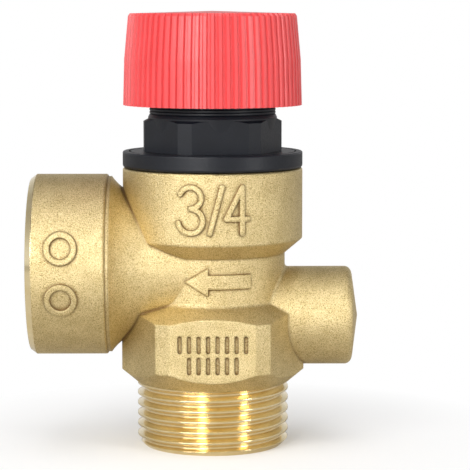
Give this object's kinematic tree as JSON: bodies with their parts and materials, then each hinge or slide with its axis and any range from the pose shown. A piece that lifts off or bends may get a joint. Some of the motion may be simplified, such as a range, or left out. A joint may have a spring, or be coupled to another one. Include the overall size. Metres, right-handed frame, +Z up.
{
  "type": "pressure relief valve",
  "caption": "Angled brass pressure relief valve with a male threaded inlet, female threaded side outlet, black screw-in bonnet and ribbed red lifting knob.",
  "frame": {"origin": "centre of the inlet's end face, on the valve's axis", "axes": "+Z up the valve's axis from inlet to knob, -X out of the outlet, +X along the closed side boss, -Y to the front with the raised size numerals"},
  "size_m": [0.057, 0.0318, 0.0757],
  "materials": {
    "cast_brass": "sand-blasted cast brass with machined threads",
    "turned_brass": "turned brass",
    "black_plastic": "moulded black plastic, fine grain",
    "red_plastic": "moulded coral red plastic",
    "rubber": "black EPDM rubber",
    "spring_steel": "zinc-plated steel",
    "white_plastic": "natural acetal"
  },
  "bodies": {
    "body": {"valve_body": "cast_brass", "bonnet": "black_plastic", "slip_ring": "turned_brass", "diaphragm": "rubber", "adjusting_ring": "turned_brass", "guide_bush": "white_plastic", "spring_washer": "spring_steel", "spring": "spring_steel"},
    "lift": {"spring_plate": "spring_steel", "support_washer": "spring_steel", "stem": "turned_brass", "disc_holder": "turned_brass", "seal_disc": "rubber", "seal_washer": "spring_steel", "seal_screw": "spring_steel", "knob_washer": "spring_steel", "knob_nut": "turned_brass"},
    "knob": {"knob": "red_plastic", "knob_lid": "red_plastic"}
  },
  "joints": [
    {"name": "stem_lift", "type": "slide", "parent": "body", "child": "lift", "axis": [0, 0, 1], "range_m": [0, 0.0026], "stiffness_N_per_m": 500, "springref_m": -0.004, "deforming": ["spring", "diaphragm"]},
    {"name": "knob_turn", "type": "hinge", "parent": "lift", "child": "knob", "pos_m": [0, 0, 0.0675], "axis": [0, 0, 1], "range_deg": [0, 85]}
  ],
  "couplings": [
    {"joint": "knob_turn", "follows": "stem_lift", "rad_per_m": 570.5}
  ]
}
